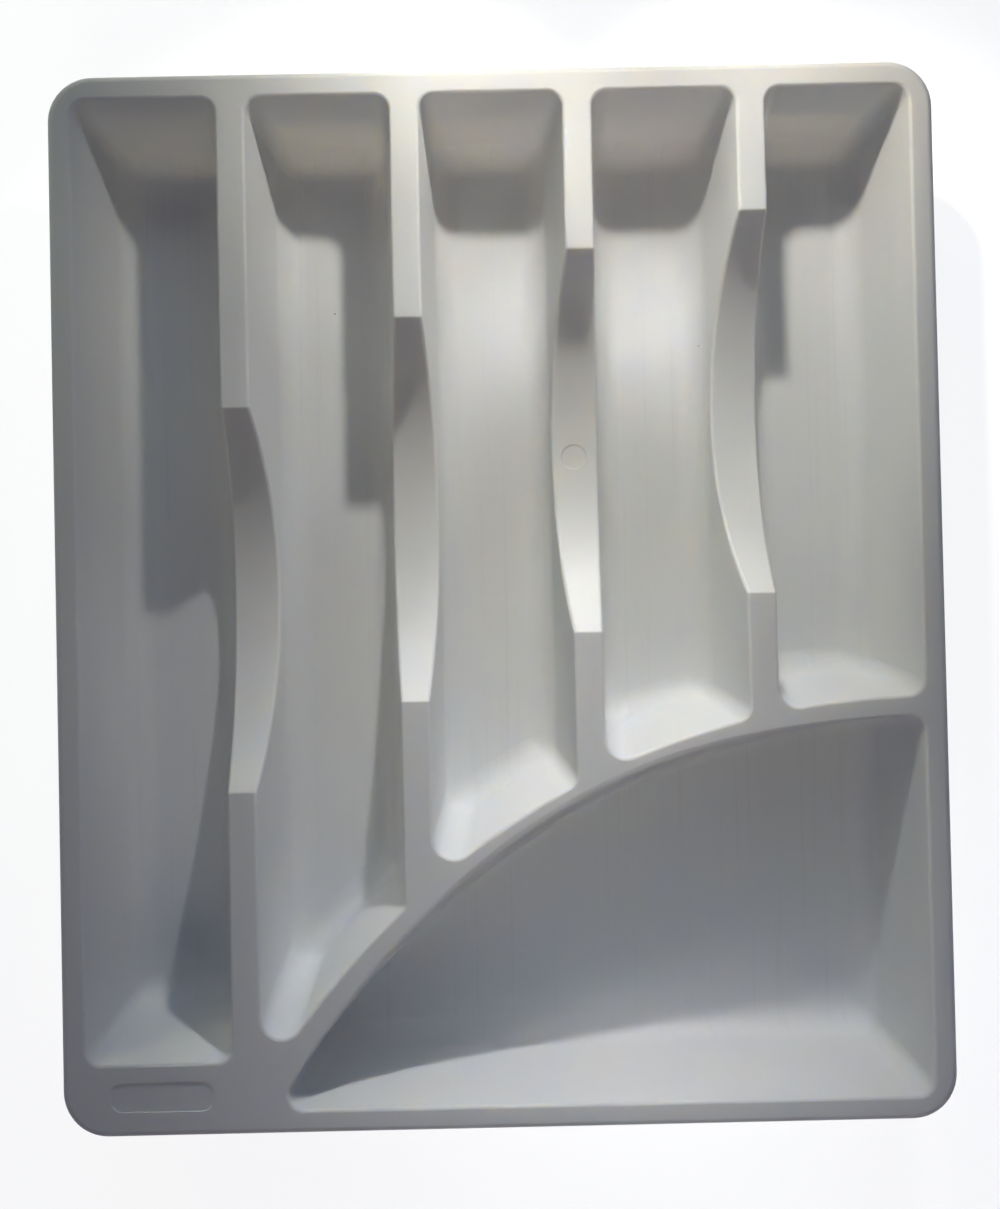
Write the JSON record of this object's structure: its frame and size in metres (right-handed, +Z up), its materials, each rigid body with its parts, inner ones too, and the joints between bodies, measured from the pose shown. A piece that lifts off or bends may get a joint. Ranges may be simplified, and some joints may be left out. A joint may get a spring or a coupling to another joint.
{
  "type": "cutlery tray",
  "caption": "White moulded drawer tray with long lanes side by side, finger scoops in the dividers and a fan-shaped front pocket under a curved divider, standing on round rubber feet.",
  "frame": {"origin": "middle of the tray's footprint, on the plane that the feet stand on", "axes": "+X to the right, +Y to the rear of the drawer, +Z up"},
  "size_m": [0.333, 0.396, 0.045],
  "materials": {
    "tray": "satin white moulding",
    "foot": "matt grey non-slip rubber"
  },
  "bodies": {
    "root": {"tray_moulding": "tray", "foot_rear_left": "foot", "foot_rear_right": "foot", "foot_front_left": "foot", "foot_front_right": "foot"}
  },
  "joints": []
}
